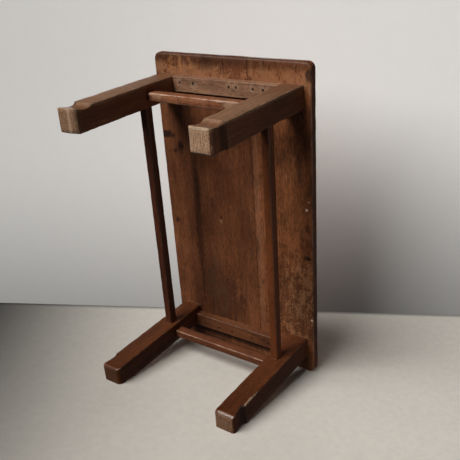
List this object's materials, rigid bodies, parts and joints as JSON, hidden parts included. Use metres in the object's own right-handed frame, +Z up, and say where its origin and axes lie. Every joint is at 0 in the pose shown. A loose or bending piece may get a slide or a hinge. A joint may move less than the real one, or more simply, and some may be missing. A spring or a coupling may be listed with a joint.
{
  "type": "low wooden table",
  "caption": "Low rectangular wooden table: edge-joined plank top on square post legs with hollowed feet, battens under the top and thin stretchers between the legs.",
  "frame": {"origin": "on the ground under the middle of the top", "axes": "+X along the table's length, +Y across it towards the edge of the wide board, +Z up from the ground to the top"},
  "size_m": [0.73, 0.392, 0.332],
  "materials": {
    "top_wood": "aged dark stain, worn satin",
    "leg_wood": "aged dark stain, pale worn edges",
    "rail_wood": "aged reddish stain, handled smooth",
    "batten_wood": "aged grey-brown, dry and matte",
    "iron": "dark oxidised iron",
    "peg_wood": "plain split bamboo"
  },
  "bodies": {
    "root": {"top_board_wide": "top_wood", "top_board_narrow": "top_wood", "board_joint_pegs": "peg_wood", "leg_left_front": "leg_wood", "leg_left_back": "leg_wood", "leg_right_front": "leg_wood", "leg_right_back": "leg_wood", "long_stretcher_front": "rail_wood", "long_stretcher_back": "rail_wood", "short_stretcher_left": "rail_wood", "short_stretcher_right": "rail_wood", "end_batten_left": "batten_wood", "end_batten_right": "batten_wood", "batten_nails_left": "iron", "batten_nails_right": "iron", "stretcher_nails_left": "iron", "stretcher_nails_right": "iron"}
  },
  "joints": []
}
